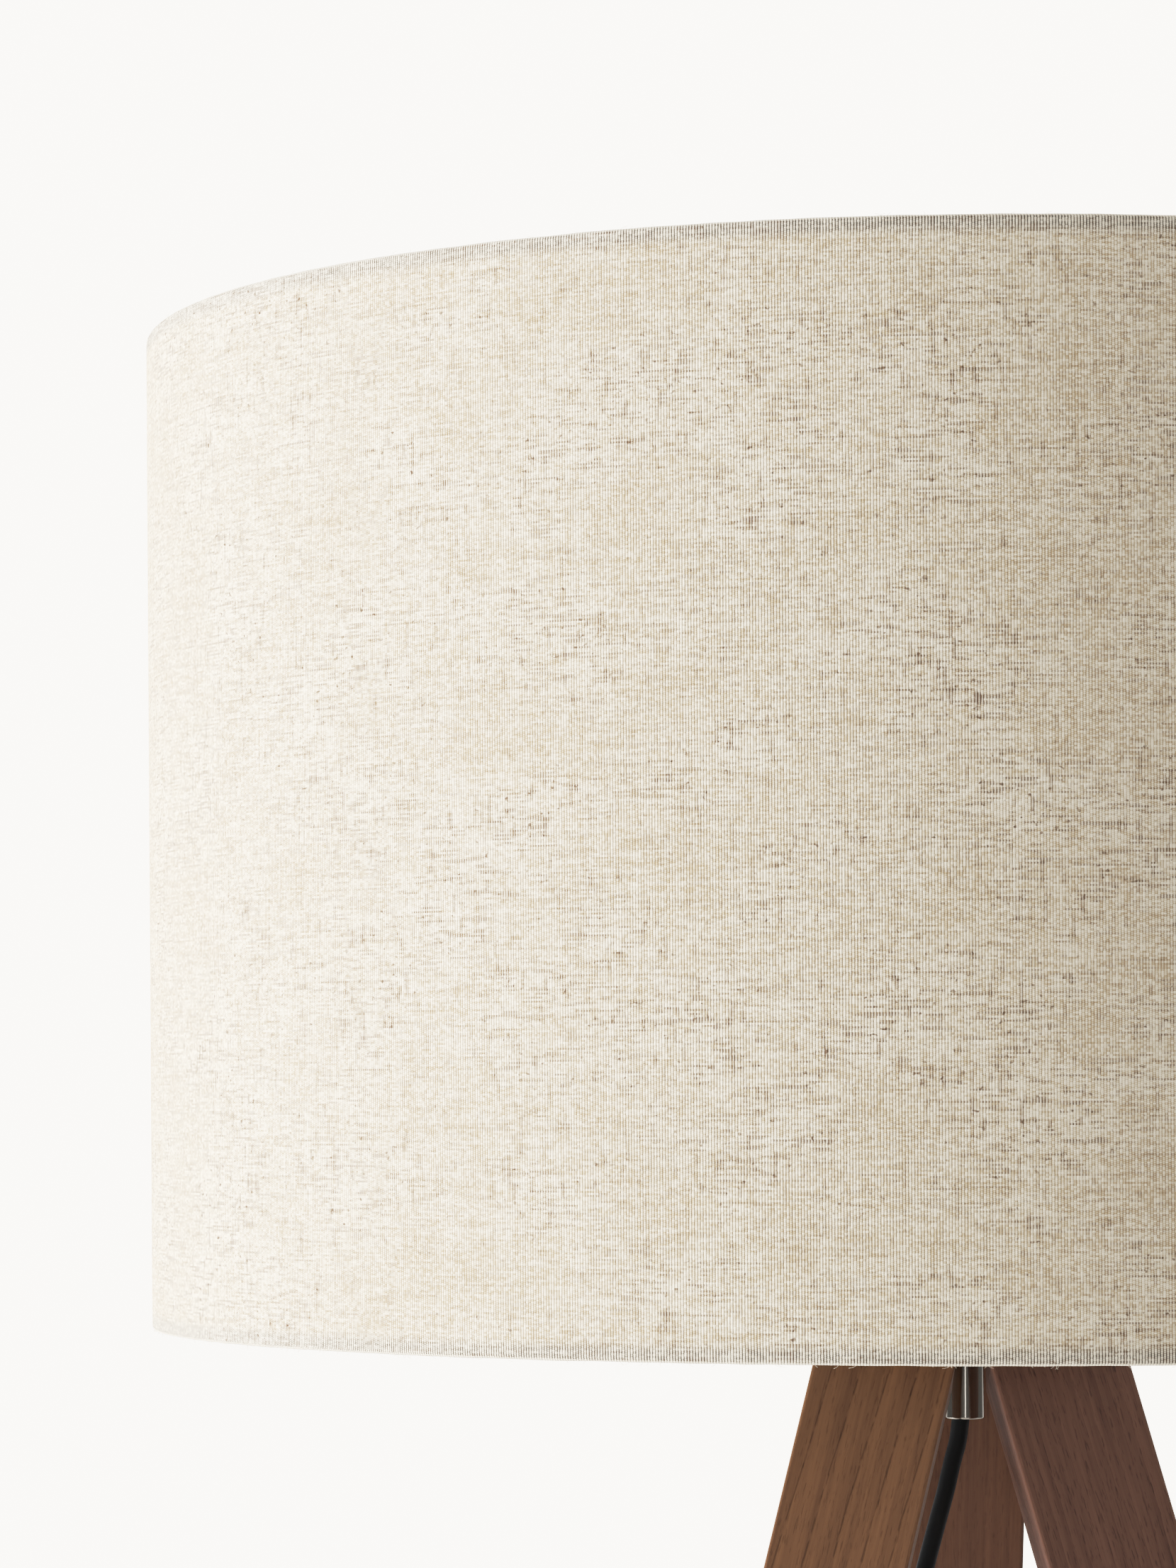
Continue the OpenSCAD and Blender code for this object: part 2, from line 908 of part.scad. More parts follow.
module switch_button() {
    flange_top = case_h - case_wall - clearance;
    color([0.2, 0.2, 0.2])
        at_switch() {
            translate([0, 0, flange_top - button_flange])
                cylinder(r = button_r + 2, h = button_flange);
            translate([0, 0, flange_top - button_flange])
                cylinder(r = button_r, h = case_h + button_rise - 1 - flange_top + button_flange);
            translate([0, 0, case_h + button_rise - 2])
                cylinder(r = button_r - 1, h = 2);
        }
}

module switch_spring() {
    low = 2;
    high = case_h - case_wall - clearance - button_flange;
    color("silver")
        at_switch()
            translate([0, 0, low])
                difference() {
                    cylinder(r = 5, h = high - low);
                    translate([0, 0, -1])
                        cylinder(r = 4.2, h = high - low + 2);
                }
}

module switch_contacts() {
    color("gold")
        at_switch()
            for (s = [-1, 1])
                translate([-6, s * 21 - 5, 2])
                    cube([12, 10, 9]);
}

module switch_boots() {
    color([0.1, 0.1, 0.1])
        at_switch()
            for (s = [-1, 1])
                translate([0, s * (case_reach + case_r), switch_axis])
                    rotate([-90 * s, 0, 0])
                        difference() {
                            union() {
                                translate([0, 0, 0.1])
                                    cylinder(r1 = 5.4, r2 = 3.7, h = boot_len);
                                translate([0, 0, -case_wall - 0.9])
                                    cylinder(r = 4.1, h = case_wall + 1.5);
                                translate([0, 0, -case_wall - 2.4])
                                    cylinder(r = 5, h = 1.5);
                            }
                            translate([0, 0, -10])
                                cylinder(r = cord_r + 0.1, h = boot_len + 20);
                        }
}

module switch_screws() {
    color("silver")
        at_switch()
            for (p = POSTS)
                translate([p.x, p.y, 0]) {
                    translate([0, 0, 0.2])
                        cylinder(r = 2.4, h = 1.2);
                    translate([0, 0, 1.4])
                        cylinder(r = 1.3, h = 11);
                }
}

// Plug -------------------------------------------------------------------------------------

module plug_body() {
    side = 3;
    face_w = plug_w / 2 - side;
    neck_w = 4;
    color([0.1, 0.1, 0.1])
        translate([plug_x, plug_y, 0])
            hull()
                for (p = [[face_w, -plug_len + side], [face_w, -plug_len + 12], [neck_w, -side]])
                    for (s = [-1, 1])
                        translate([s * p.x, p.y, 0]) {
                            translate([0, 0, 1])
                                cylinder(r = side, h = plug_t - 2, $fn = 24);
                            cylinder(r = side - 1, h = plug_t, $fn = 24);
                        }
}

module plug_pins() {
    color("silver")
        for (s = [-1, 1])
            translate([plug_x + s * pin_gap / 2, plug_y - plug_len, plug_axis])
                rotate([90, 0, 0]) {
                    cylinder(r = pin_r, h = pin_len - 1);
                    cylinder(r = pin_r - 0.6, h = pin_len);
                }
}

module plug_boot() {
    color([0.1, 0.1, 0.1])
        translate([plug_x, plug_y, plug_axis])
            rotate([-90, 0, 0])
                difference() {
                    cylinder(r1 = 5.2, r2 = 3.7, h = 24);
                    translate([0, 0, -1])
                        cylinder(r = cord_r + 0.1, h = 30);
                }
}

shade_cover();
shade_liner();
shade_top_hem();
shade_bottom_hem();
shade_top_ring();
shade_bottom_ring();
spider_arms();
spider_ring();
leg_left_front();
leg_right_front();
leg_back();
leg_screws();
foot_pads();
pad_screws();
hub();
stem_tube();
stem_washer();
stem_nut();
ferrule();
holder_cap();
holder_grub_screw();
cord_grip();
holder_shell();
holder_insert();
holder_screw_shell();
holder_contact();
terminal_screws();
lower_shade_ring();
upper_shade_ring();
cord_in_stem();
terminal_wires();
bulb_globe();
bulb_neck();
bulb_cap();
bulb_insulator();
bulb_contact();
cord_clips();
clip_screws();
cord_run();
cord_link();
cord_coil();
cord_tail();
coil_tie();
switch_base();
switch_cover();
switch_button();
switch_spring();
switch_contacts();
switch_boots();
switch_screws();
plug_body();
plug_pins();
plug_boot();
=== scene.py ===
"""A tripod floor lamp: the finish of its CAD frame, its linen shade, its cord and the studio.

Metres, +Z up, the lamp stands on z = 0 with its axis on the Z axis, and its front faces -Y.
"""

import json
import math
import random

import bpy
from mathutils import Euler, Matrix, Vector, noise


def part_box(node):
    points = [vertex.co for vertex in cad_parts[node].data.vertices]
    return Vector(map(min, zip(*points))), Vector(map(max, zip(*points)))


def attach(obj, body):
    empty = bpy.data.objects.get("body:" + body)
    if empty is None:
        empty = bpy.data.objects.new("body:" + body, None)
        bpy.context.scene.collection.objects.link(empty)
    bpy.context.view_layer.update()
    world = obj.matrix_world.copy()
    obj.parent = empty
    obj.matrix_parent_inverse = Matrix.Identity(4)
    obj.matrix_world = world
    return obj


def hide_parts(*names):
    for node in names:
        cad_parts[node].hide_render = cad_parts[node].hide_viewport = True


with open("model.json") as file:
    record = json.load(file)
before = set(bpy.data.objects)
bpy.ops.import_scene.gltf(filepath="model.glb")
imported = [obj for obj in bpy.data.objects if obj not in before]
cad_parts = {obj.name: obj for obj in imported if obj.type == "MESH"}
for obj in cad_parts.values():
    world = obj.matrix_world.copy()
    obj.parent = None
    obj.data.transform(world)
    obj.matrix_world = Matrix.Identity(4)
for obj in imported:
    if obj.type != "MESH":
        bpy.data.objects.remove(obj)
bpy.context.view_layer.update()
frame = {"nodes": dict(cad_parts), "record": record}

MM = 0.001

# The shade's rims and its radius at the top, from the frame; it flares by as much as in part.scad
RIM_LOW, RIM_HIGH = (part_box("shade_cover")[i] for i in (0, 1))
SHADE_Z0 = RIM_LOW.z
SHADE_Z1 = RIM_HIGH.z
SHADE_TOP_R = RIM_HIGH.x
SHADE_FLARE = 3 * MM
SHADE_R = SHADE_TOP_R - SHADE_FLARE


# Camera ------------------------------------------------------------------------------------

CAMERA_AT = Vector((-0.1538, -1.5971, 1.26725))
CAMERA_AIM = Vector((0.0236, 0.9978, 0.0607))
CAMERA_ROLL = math.radians(-0.088)
CAMERA_LENS = 118.28


def add_camera():
    data = bpy.data.cameras.new("camera")
    data.lens = CAMERA_LENS
    data.clip_start = 0.05
    camera = bpy.data.objects.new("camera", data)
    bpy.context.scene.collection.objects.link(camera)
    turn = CAMERA_AIM.to_track_quat("-Z", "Y").to_matrix() @ Matrix.Rotation(CAMERA_ROLL, 3, "Z")
    camera.matrix_world = Matrix.LocRotScale(CAMERA_AT, turn.to_quaternion(), None)
    bpy.context.scene.camera = camera


add_camera()


# Pieces made here ----------------------------------------------------------------------------

def link(name, data):
    piece = bpy.data.objects.new(name, data)
    bpy.context.scene.collection.objects.link(piece)
    return piece


def mesh_piece(name, vertices, faces, material, smooth=True):
    mesh = bpy.data.meshes.new(name)
    mesh.from_pydata(vertices, [], faces)
    mesh.update()
    mesh.polygons.foreach_set("use_smooth", [smooth] * len(mesh.polygons))
    mesh.materials.append(material)
    return link(name, mesh)


def curve_piece(name, runs, radius, material, ring=8, lowest=-1.0):
    """A round wire or cord along each list of points in runs, smooth through every point.

    Its middle line never dips below lowest."""
    curve = bpy.data.curves.new(name, "CURVE")
    curve.dimensions = "3D"
    curve.bevel_depth = radius
    curve.bevel_resolution = ring // 2 - 2
    curve.resolution_u = 6
    curve.use_fill_caps = True
    for points in runs:
        spline = curve.splines.new("BEZIER")
        spline.bezier_points.add(len(points) - 1)
        points = [Vector(point) for point in points]
        steps = [after - before for before, after in zip(points, points[1:])]
        for i, knot in enumerate(spline.bezier_points):
            back = steps[max(i - 1, 0)]
            ahead = steps[min(i, len(steps) - 1)]
            along = (back * ahead.length / back.length + ahead * back.length / ahead.length).normalized()
            knot.co = points[i]
            knot.handle_left = points[i] - along * back.length / 3
            knot.handle_right = points[i] + along * ahead.length / 3
            for handle in (knot.handle_left, knot.handle_right):
                handle.z = max(handle.z, lowest)
    curve.materials.append(material)
    return link(name, curve)


# Shading by nodes ------------------------------------------------------------------------------

class Field:
    """A number that varies over a surface. Python's operators join Fields with Math nodes."""

    def __init__(self, tree, socket):
        self.tree = tree
        self.socket = socket

    def math(self, operation, *others, clamp=False):
        step = self.tree.nodes.new("ShaderNodeMath")
        step.operation = operation
        step.use_clamp = clamp
        for place, value in enumerate((self, *others)):
            plug(self.tree, step.inputs[place], value)
        return Field(self.tree, step.outputs[0])

    def __add__(self, other):
        return self.math("ADD", other)

    def __sub__(self, other):
        return self.math("SUBTRACT", other)

    def __mul__(self, other):
        return self.math("MULTIPLY", other)

    def __truediv__(self, other):
        return self.math("DIVIDE", other)

    def floor(self):
        return self.math("FLOOR")

    def fraction(self):
        return self.math("FRACT")

    def wave(self, turns=1.0):
        """1 at each whole number and 0 half way between."""
        return (self * (2 * math.pi * turns)).math("COSINE") * 0.5 + 0.5

    def step(self, low, high, out_low=0.0, out_high=1.0):
        """A smooth climb from out_low at low to out_high at high."""
        ramp = self.tree.nodes.new("ShaderNodeMapRange")
        ramp.interpolation_type = "SMOOTHSTEP"
        for name, value in (("Value", self), ("From Min", low), ("From Max", high),
                            ("To Min", out_low), ("To Max", out_high)):
            plug(self.tree, ramp.inputs[name], value)
        return Field(self.tree, ramp.outputs["Result"])


def plug(tree, socket, value):
    if isinstance(value, Field):
        tree.links.new(value.socket, socket)
    else:
        socket.default_value = value


class Finish:
    """A material with one Principled shader, and the fields that its looks are worked out from."""

    def __init__(self, name, colour, roughness, **inputs):
        self.material = bpy.data.materials.new(name)
        self.material.use_nodes = True
        self.material.diffuse_color = (*colour, 1)
        self.tree = self.material.node_tree
        self.shader = self.tree.nodes["Principled BSDF"]
        self.set("Base Color", (*colour, 1))
        self.set("Roughness", roughness)
        for key, value in inputs.items():
            self.set(key.replace("_", " ").title(), value)

    def set(self, name, value):
        names = {"Ior": "IOR", "Specular Level": "Specular IOR Level"}
        plug(self.tree, self.shader.inputs[names.get(name, name)], value)

    def place(self, at=None, turn=None):
        """The x, y and z of a point, in the lamp's frame or in one that sits at at, turned by turn."""
        where = self.tree.nodes.new("ShaderNodeTexCoord").outputs["Object"]
        if at is not None:
            mapping = self.tree.nodes.new("ShaderNodeMapping")
            mapping.vector_type = "TEXTURE"
            mapping.inputs["Location"].default_value = at
            mapping.inputs["Rotation"].default_value = turn
            self.tree.links.new(where, mapping.inputs["Vector"])
            where = mapping.outputs["Vector"]
        split = self.tree.nodes.new("ShaderNodeSeparateXYZ")
        self.tree.links.new(where, split.inputs[0])
        return [Field(self.tree, split.outputs[i]) for i in range(3)]

    def noise(self, x, y, z=0.0, detail=2.0, rough=0.5):
        """Smooth noise from 0 to 1 whose features are about 1 across in x, y and z."""
        join = self.tree.nodes.new("ShaderNodeCombineXYZ")
        for place, value in enumerate((x, y, z)):
            plug(self.tree, join.inputs[place], value)
        cloud = self.tree.nodes.new("ShaderNodeTexNoise")
        self.tree.links.new(join.outputs[0], cloud.inputs["Vector"])
        cloud.inputs["Scale"].default_value = 1
        cloud.inputs["Detail"].default_value = detail
        cloud.inputs["Roughness"].default_value = rough
        return Field(self.tree, cloud.outputs[0])

    def speck(self, x, y):
        """A number from 0 to 1 drawn for each whole x and y."""
        join = self.tree.nodes.new("ShaderNodeCombineXYZ")
        plug(self.tree, join.inputs[0], x)
        plug(self.tree, join.inputs[1], y)
        draw = self.tree.nodes.new("ShaderNodeTexWhiteNoise")
        draw.noise_dimensions = "2D"
        self.tree.links.new(join.outputs[0], draw.inputs["Vector"])
        return Field(self.tree, draw.outputs["Value"])

    def mix(self, share, first, second):
        """first where share is 0 and second where it is 1; each is a colour or a Field."""
        blend = self.tree.nodes.new("ShaderNodeMix")
        blend.data_type = "RGBA"
        plug(self.tree, blend.inputs["Factor"], share)
        for name, colour in (("A", first), ("B", second)):
            socket = next(s for s in blend.inputs if s.name == name and s.type == "RGBA")
            plug(self.tree, socket, colour if isinstance(colour, Field) else (*colour, 1))
        return Field(self.tree, next(s for s in blend.outputs if s.type == "RGBA"))

    def bump(self, height, depth):
        """A relief of that many metres where height runs from 0 to 1."""
        relief = self.tree.nodes.new("ShaderNodeBump")
        relief.inputs["Strength"].default_value = 1
        relief.inputs["Distance"].default_value = depth
        self.tree.links.new(height.socket, relief.inputs["Height"])
        self.tree.links.new(relief.outputs[0], self.shader.inputs["Normal"])


# Linen -------------------------------------------------------------------------------------------

# The pitch of the upright ribs and of the level threads
RIB = 0.81 * MM
PICK = 0.53 * MM
LINEN_THREAD = (0.86, 0.765, 0.615)
LINEN_GAP = (0.40, 0.29, 0.175)
LINEN_SLUB = (0.10, 0.050, 0.026)
# The gaps between ribs darken in a band along each rim; the folded edge is whiter thread plus a painted
# highlight
LINEN_DUSK = (0.09, 0.08, 0.07)
RIM_BAND = 6.5 * MM
FOLD_HIGHLIGHT_BAND = 0.7 * MM
LINEN_RELIEF = 0.15 * MM


def linen():
    """Upright cream ribs over finer level threads; brown slubs show between the ribs."""
    finish = Finish("linen_weave", LINEN_THREAD, 0.95, sheen_weight=0.12, sheen_roughness=0.5,
                    specular_level=0.2)
    x, y, z = finish.place()
    along = x.math("ARCTAN2", y * -1) * SHADE_R
    rib_at = along / RIB
    pick_at = z / PICK
    rib_number = rib_at.floor()
    pick_number = pick_at.floor()
    rib = (rib_at + 0.5).wave()
    pick = (pick_at + rib_number * 0.5 + 0.5).wave()
    speck = finish.speck(rib_number, pick_number)

    rib_tone = finish.noise(rib_number * 3.7, z * 42, 3.1)
    pick_tone = finish.noise(along * 60, pick_number * 3.7, 8.3)
    cloud = finish.noise(along * 30, z * 38, 5.5, detail=3)
    patch = cloud.step(0.36, 0.66)
    rib_slub = finish.noise(rib_number * 5.3, z * 130, 1.7).step(0.60, 0.68)
    pick_slub = finish.noise(along * 110, pick_number * 5.3, 6.1).step(0.53, 0.62)
    knot = finish.noise(along * 560, z * 700, 2.2, detail=1).step(0.67, 0.76)
    from_rim = ((z - (SHADE_Z0 + SHADE_Z1) / 2).math("ABSOLUTE") * -1
                + (SHADE_Z1 - SHADE_Z0) / 2)
    dusk = from_rim.step(RIM_BAND * 0.4, RIM_BAND, 1, 0)
    # Each rim's folded edge: whiter threads, with a painted highlight where the fold catches the light
    fold_whiter_and_highlight = from_rim.step(FOLD_HIGHLIGHT_BAND * 0.6, FOLD_HIGHLIGHT_BAND, 1, 0)

    gap = finish.mix(dusk * 0.9, LINEN_GAP, LINEN_DUSK)
    bead = rib * (pick * 0.5 + 0.5)
    share = (bead * 0.68 + pick * 0.14 + (bead - 0.3) * dusk * 0.85 + (speck - 0.5) * 0.55
             + (rib_tone - 0.5) * 0.45 + (pick_tone - 0.5) * 0.7 + (cloud - 0.5) * 0.4)
    weave = finish.mix(share.step(-0.25, 0.8), gap, LINEN_THREAD)
    between = (rib * -1 + 1) * 0.85 + 0.15
    slub = (pick_slub * (speck * 0.5 + 0.5) * between + rib_slub * between * 0.8
            + knot * (speck * 0.5 + 0.5)) * (patch * 0.55 + 0.45)
    stained = finish.mix(slub.math("MINIMUM", 0.92), weave, LINEN_SLUB)
    finish.set("Base Color", finish.mix(fold_whiter_and_highlight * 0.8, stained, LINEN_THREAD))
    finish.bump(rib * 0.75 + pick * 0.3 + pick_slub * 0.4 + (speck - 0.5) * 0.5, LINEN_RELIEF)
    return finish.material


# Wood ----------------------------------------------------------------------------------------------

# Each board's own origin on its centre line, how far it runs inwards going up, and its turn, as
# part.scad has them
LEG_Z = 1.177
LEGS = {
    "leg_left_front": {"at": (-0.0281, -0.020, LEG_Z), "run": (0.2645, 0.22), "turn": -6},
    "leg_right_front": {"at": (0.0281, -0.020, LEG_Z), "run": (-0.2645, 0.22), "turn": 6},
    "leg_back": {"at": (0, 0.021, LEG_Z), "run": (0, -0.30), "turn": 0},
}


def leg_turn(leg):
    """The rotation from a board's own frame (across, through, along) to the lamp's."""
    turn = math.radians(leg["turn"])
    run = Matrix.Rotation(-turn, 2) @ Vector(leg["run"])
    pitch = -math.atan(run.y)
    bank = math.atan(run.x * math.cos(pitch))
    return (Matrix.Rotation(turn, 3, "Z") @ Matrix.Rotation(pitch, 3, "X")
            @ Matrix.Rotation(bank, 3, "Y"))


WOOD_RELIEF = 0.06 * MM
GRAIN_WANDER = 13 * MM
GRAIN_SHIFT = 1.5 * MM


def wood(name, at, turn, light, dark, ring=8.4 * MM, line=0.6, streaks=0.8, slope=0.0, cup=0.3,
         pores=0.6, seed=0.0, roughness=0.45):
    """Stained open-pored wood whose grain runs along z of the frame at at, turned by turn.

    A thin broken line of large pores, as dark as line says, follows each growth ring; slope leans
    the rings along the board and cup leans them through it."""
    finish = Finish(name, light, roughness, specular_level=0.22)
    x, y, z = finish.place(at, turn)
    wander = finish.noise(x * 9, y * 9, z * 3.1 + seed, detail=2) - 0.5
    shift = finish.noise(x * 130, y * 130, z * 26 + seed * 2, detail=2) - 0.5
    growth = (x + z * slope + y * cup + wander * GRAIN_WANDER + shift * GRAIN_SHIFT) / ring + seed
    age = growth.fraction()
    thin = age.step(0.0, 0.02) * age.step(0.04, 0.1, 1, 0)
    late = age.step(0.1, 0.9)
    fibre = finish.noise(x * 1300, y * 1300, z * 34 + seed, detail=3, rough=0.6)
    streak = finish.noise(x * 420, y * 420, z * 9 + seed * 3, detail=3, rough=0.6)
    pore = finish.noise(x * 1900, y * 1900, z * 190 + seed, detail=2, rough=0.6)
    cloud = finish.noise(x * 45, y * 45, z * 7 + seed * 5, detail=2)
    broken = finish.noise(x * 700, y * 700, z * 240 + seed, detail=1).step(0.36, 0.52)
    open_pore = (pore.step(0.56, 0.68) * pores + thin * broken * line).math("MINIMUM", 1.0)
    depth = ((streak - 0.5) * 1.5 + (fibre - 0.5) * 1.1 + (cloud - 0.5) * 0.7) * streaks
    stain = finish.mix((depth + late * 0.25 + thin * 0.2 + 0.3).math("MAXIMUM", 0.0), light, dark)
    finish.set("Base Color", finish.mix(open_pore, stain, tuple(c * 0.3 for c in dark)))
    finish.set("Roughness", fibre.step(0.2, 0.8, roughness - 0.06, roughness + 0.08))
    finish.bump(fibre * 0.4 - open_pore * 0.9, WOOD_RELIEF)
    return finish.material


def leg_wood(node, **looks):
    leg = LEGS[node]
    turn = leg_turn(leg).to_euler("XYZ")
    return wood(node + "_wood", leg["at"], turn, **looks)


# Plastics, metals and the rest -------------------------------------------------------------------

def moulded(name, colour, roughness, grain=2600, depth=0.02 * MM, **inputs):
    """Plastic or rubber with the fine grain of its mould."""
    finish = Finish(name, colour, roughness, **inputs)
    x, y, z = finish.place()
    grit = finish.noise(x * grain, y * grain, z * grain, detail=2)
    smear = finish.noise(x * 60, y * 60, z * 60, detail=3)
    finish.set("Roughness", smear.step(0.3, 0.7, roughness - 0.05, roughness + 0.07))
    finish.set("Base Color", finish.mix(smear.step(0.25, 0.8), colour, tuple(c * 0.82 for c in colour)))
    finish.bump(grit, depth)
    return finish.material


def metal(name, colour, roughness, brushed=(400, 400, 400), depth=0.004 * MM):
    """Metal with fine drawing or turning marks, long where brushed is small."""
    finish = Finish(name, colour, roughness, metallic=1.0)
    x, y, z = finish.place()
    marks = finish.noise(x * brushed[0], y * brushed[1], z * brushed[2], detail=3)
    finish.set("Roughness", marks.step(0.25, 0.75, roughness - 0.05, roughness + 0.08))
    finish.bump(marks, depth)
    return finish.material


def opal():
    finish = Finish("opal_glass", (0.86, 0.855, 0.84), 0.16, subsurface_weight=0.35,
                    subsurface_scale=0.004, coat_weight=0.4, coat_roughness=0.05)
    x, y, z = finish.place()
    flow = finish.noise(x * 22, y * 22, z * 22, detail=2)
    finish.set("Roughness", flow.step(0.3, 0.7, 0.13, 0.2))
    return finish.material


def finishes():
    """Each of the record's slots and its Blender material."""
    return {
        "linen": linen(),
        "liner": moulded("liner_film", (0.82, 0.81, 0.78), 0.5, grain=900, depth=0.01 * MM),
        "wire_frame": moulded("white_wire", (0.78, 0.78, 0.76), 0.35, grain=500, depth=0.01 * MM),
        "steel": metal("zinc_steel", (0.60, 0.61, 0.62), 0.3, depth=0.003 * MM),
        "nickel": metal("dark_nickel", (0.36, 0.325, 0.28), 0.1, (900, 900, 60), 0.0008 * MM),
        "black_plastic": moulded("black_plastic", (0.016, 0.016, 0.017), 0.42),
        "button_plastic": moulded("button_plastic", (0.05, 0.05, 0.052), 0.35),
        "boot_rubber": moulded("boot_rubber", (0.018, 0.018, 0.019), 0.6),
        "ceramic": moulded("glazed_ceramic", (0.80, 0.78, 0.73), 0.2, grain=200, depth=0.02 * MM),
        "brass": metal("brass", (0.80, 0.58, 0.25), 0.28),
        "cord_black": moulded("cord_black", (0.0055, 0.006, 0.0065), 0.6, grain=1400,
                              specular_level=0.2),
        "wire_sleeve": moulded("wire_sleeve", (0.20, 0.09, 0.045), 0.45),
        "pad_rubber": moulded("pad_rubber", (0.03, 0.029, 0.028), 0.75, depth=0.04 * MM),
        "opal": opal(),
        "bulb_white": moulded("bulb_white", (0.80, 0.80, 0.78), 0.4),
        "bulb_metal": metal("bulb_cap_metal", (0.72, 0.71, 0.69), 0.25),
    }


FINISH = finishes()
HUB_GRAIN = Euler((0, math.pi / 2, 0))
BOARDS = {
    "leg_left_front": leg_wood("leg_left_front", light=(0.192, 0.091, 0.043),
                               dark=(0.095, 0.044, 0.023), line=0.5, slope=-0.035, pores=0.35,
                               seed=1.3),
    "leg_right_front": leg_wood("leg_right_front", light=(0.156, 0.074, 0.049),
                                dark=(0.082, 0.038, 0.026), ring=3.4 * MM, line=0.3,
                                slope=0.01, pores=0.5, seed=4.1),
    "leg_back": leg_wood("leg_back", light=(0.142, 0.062, 0.033), dark=(0.076, 0.033, 0.019),
                         ring=14 * MM, line=0.2, pores=0.25, seed=7.7),
    "hub": wood("hub_wood", (0, 0, SHADE_Z0), HUB_GRAIN, light=(0.150, 0.063, 0.031),
                dark=(0.080, 0.033, 0.017), ring=9 * MM, line=0.5, seed=2.9),
}


def node_slots():
    """The record's material slot of each CAD node."""
    return {part["node"]: part["material_slot"] for part in frame["record"]["subparts"]}


for node, slot_name in node_slots().items():
    holder = frame["nodes"][node]
    holder.data.materials.clear()
    holder.data.materials.append(BOARDS.get(node) or FINISH[slot_name])


# The cord ------------------------------------------------------------------------------------------

# The route in millimetres, as part.scad has it: out of the ferrule to the left board, down its
# back, along the floor to the foot switch, on to the coil, and out of the coil to the plug
CORD_D = 5.5 * MM
ROUTE_TOP = [
    (-1.2, 0, 1168), (-2.2, -0.3, 1161), (-3.9, -1, 1155), (-6.2, -2.3, 1146), (-8.9, -4.3, 1137),
    (-13.4, -8, 1122), (-20.1, -13.7, 1100), (-33.1, -24.9, 1060), (-52.8, -41.8, 1000),
    (-72.6, -58.4, 940),
]
# The cord's place across and behind the board, and its heights along it
LEG_CORD_AT = (12, 11.5)
ROUTE_LEG = [-287, -303, -390, -480, -577, -593, -680, -770, -867, -883, -970, -1060, -1157, -1173]
ROUTE_FLOOR = [
    (-313, -258.5, 48), (-316, -261, 31), (-314.5, -259.8, 16), (-307.5, -254, 6), (-297, -245, 2.8),
    (-275, -225, 2.8), (-249, -197, 2.8), (-226, -165, 2.8), (-204, -135, 2.8), (-184, -113, 4.5),
    (-173, -96, 7.2), (-170, -84, 8), (-170, -62, 8), (-170, -41, 8),
]
ROUTE_LINK = [
    (-170, 11, 8), (-170, 32, 8), (-170, 54, 8), (-168.5, 68, 7), (-164, 84, 4.5), (-154, 101, 2.8),
    (-139, 117, 2.8), (-123, 133, 2.8), (-109, 150, 3.3), (-101.5, 166, 3.95),
]
ROUTE_TAIL = [
    (-20.5, 168, 9.2), (-19, 154, 7.6), (-16.5, 142, 7), (-14, 130, 7), (-14, 118, 7), (-14, 94, 7),
]
COIL_AT = (-60, 180)
COIL_IN = 25.2
COIL_OUT = 39.25
COIL_LOW = 3.95
COIL_HIGH = 9.45
COIL_WINDS = 2.5
COIL_CLIMB = 0.5
COIL_STEPS = 16


def on_left_leg(height):
    """Where the cord lies behind the left board, height along it from the board's own origin."""
    leg = LEGS["leg_left_front"]
    local = Vector((LEG_CORD_AT[0], LEG_CORD_AT[1], height)) * MM
    return Vector(leg["at"]) + leg_turn(leg) @ local


def coil_points():
    """Clockwise from the left: winding inwards on the floor, a climb, and outwards on top."""
    winds = 2 * COIL_WINDS + COIL_CLIMB
    points = []
    for i in range(round(winds * COIL_STEPS) + 1):
        wound = i / COIL_STEPS
        inward = min(wound / COIL_WINDS, (winds - wound) / COIL_WINDS, 1)
        climb = min(max((wound - COIL_WINDS) / COIL_CLIMB, 0), 1)
        angle = math.pi - 2 * math.pi * wound
        r = COIL_OUT + (COIL_IN - COIL_OUT) * inward
        z = COIL_LOW + (COIL_HIGH - COIL_LOW) * climb * climb * (3 - 2 * climb)
        points.append((COIL_AT[0] + r * math.cos(angle), COIL_AT[1] + r * math.sin(angle), z))
    return points


def cord_route():
    leg = [on_left_leg(height) for height in ROUTE_LEG]
    millimetres = ROUTE_FLOOR + ROUTE_LINK + coil_points() + ROUTE_TAIL
    return ([Vector(p) * MM for p in ROUTE_TOP] + leg + [Vector(p) * MM for p in millimetres])


def add_cord():
    cord = curve_piece("power_cord", [cord_route()], CORD_D / 2, FINISH["cord_black"], ring=16,
                       lowest=CORD_D / 2)
    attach(cord, "stand")
    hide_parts("cord_run", "cord_link", "cord_coil", "cord_tail")


add_cord()


# The shade's linen -----------------------------------------------------------------------------------

CLOTH_T = 0.55 * MM
COVER_COLUMNS = 720
COVER_ROW = 9 * MM
RIM_TURN = 1.1 * MM
HEM_H = 12 * MM
BOTTOM_HEM_R = 243.85 * MM
TOP_HEM_R = 246.8 * MM


def shade_radius(z):
    return SHADE_R + SHADE_FLARE * (z - SHADE_Z0) / (SHADE_Z1 - SHADE_Z0)


def rounded(points, radius, steps=5):
    """The open line through points, with each inner corner turned by a curve."""
    line = [Vector(points[0])]
    for before, corner, after in zip(points, points[1:], points[2:]):
        corner = Vector(corner)
        reach = [Vector(p) - corner for p in (before, after)]
        ends = [corner + r.normalized() * min(radius, r.length * 0.49) for r in reach]
        for i in range(steps + 1):
            t = i / steps
            line.append(ends[0] * (1 - t) ** 2 + corner * 2 * t * (1 - t) + ends[1] * t * t)
    line.append(Vector(points[-1]))
    return line


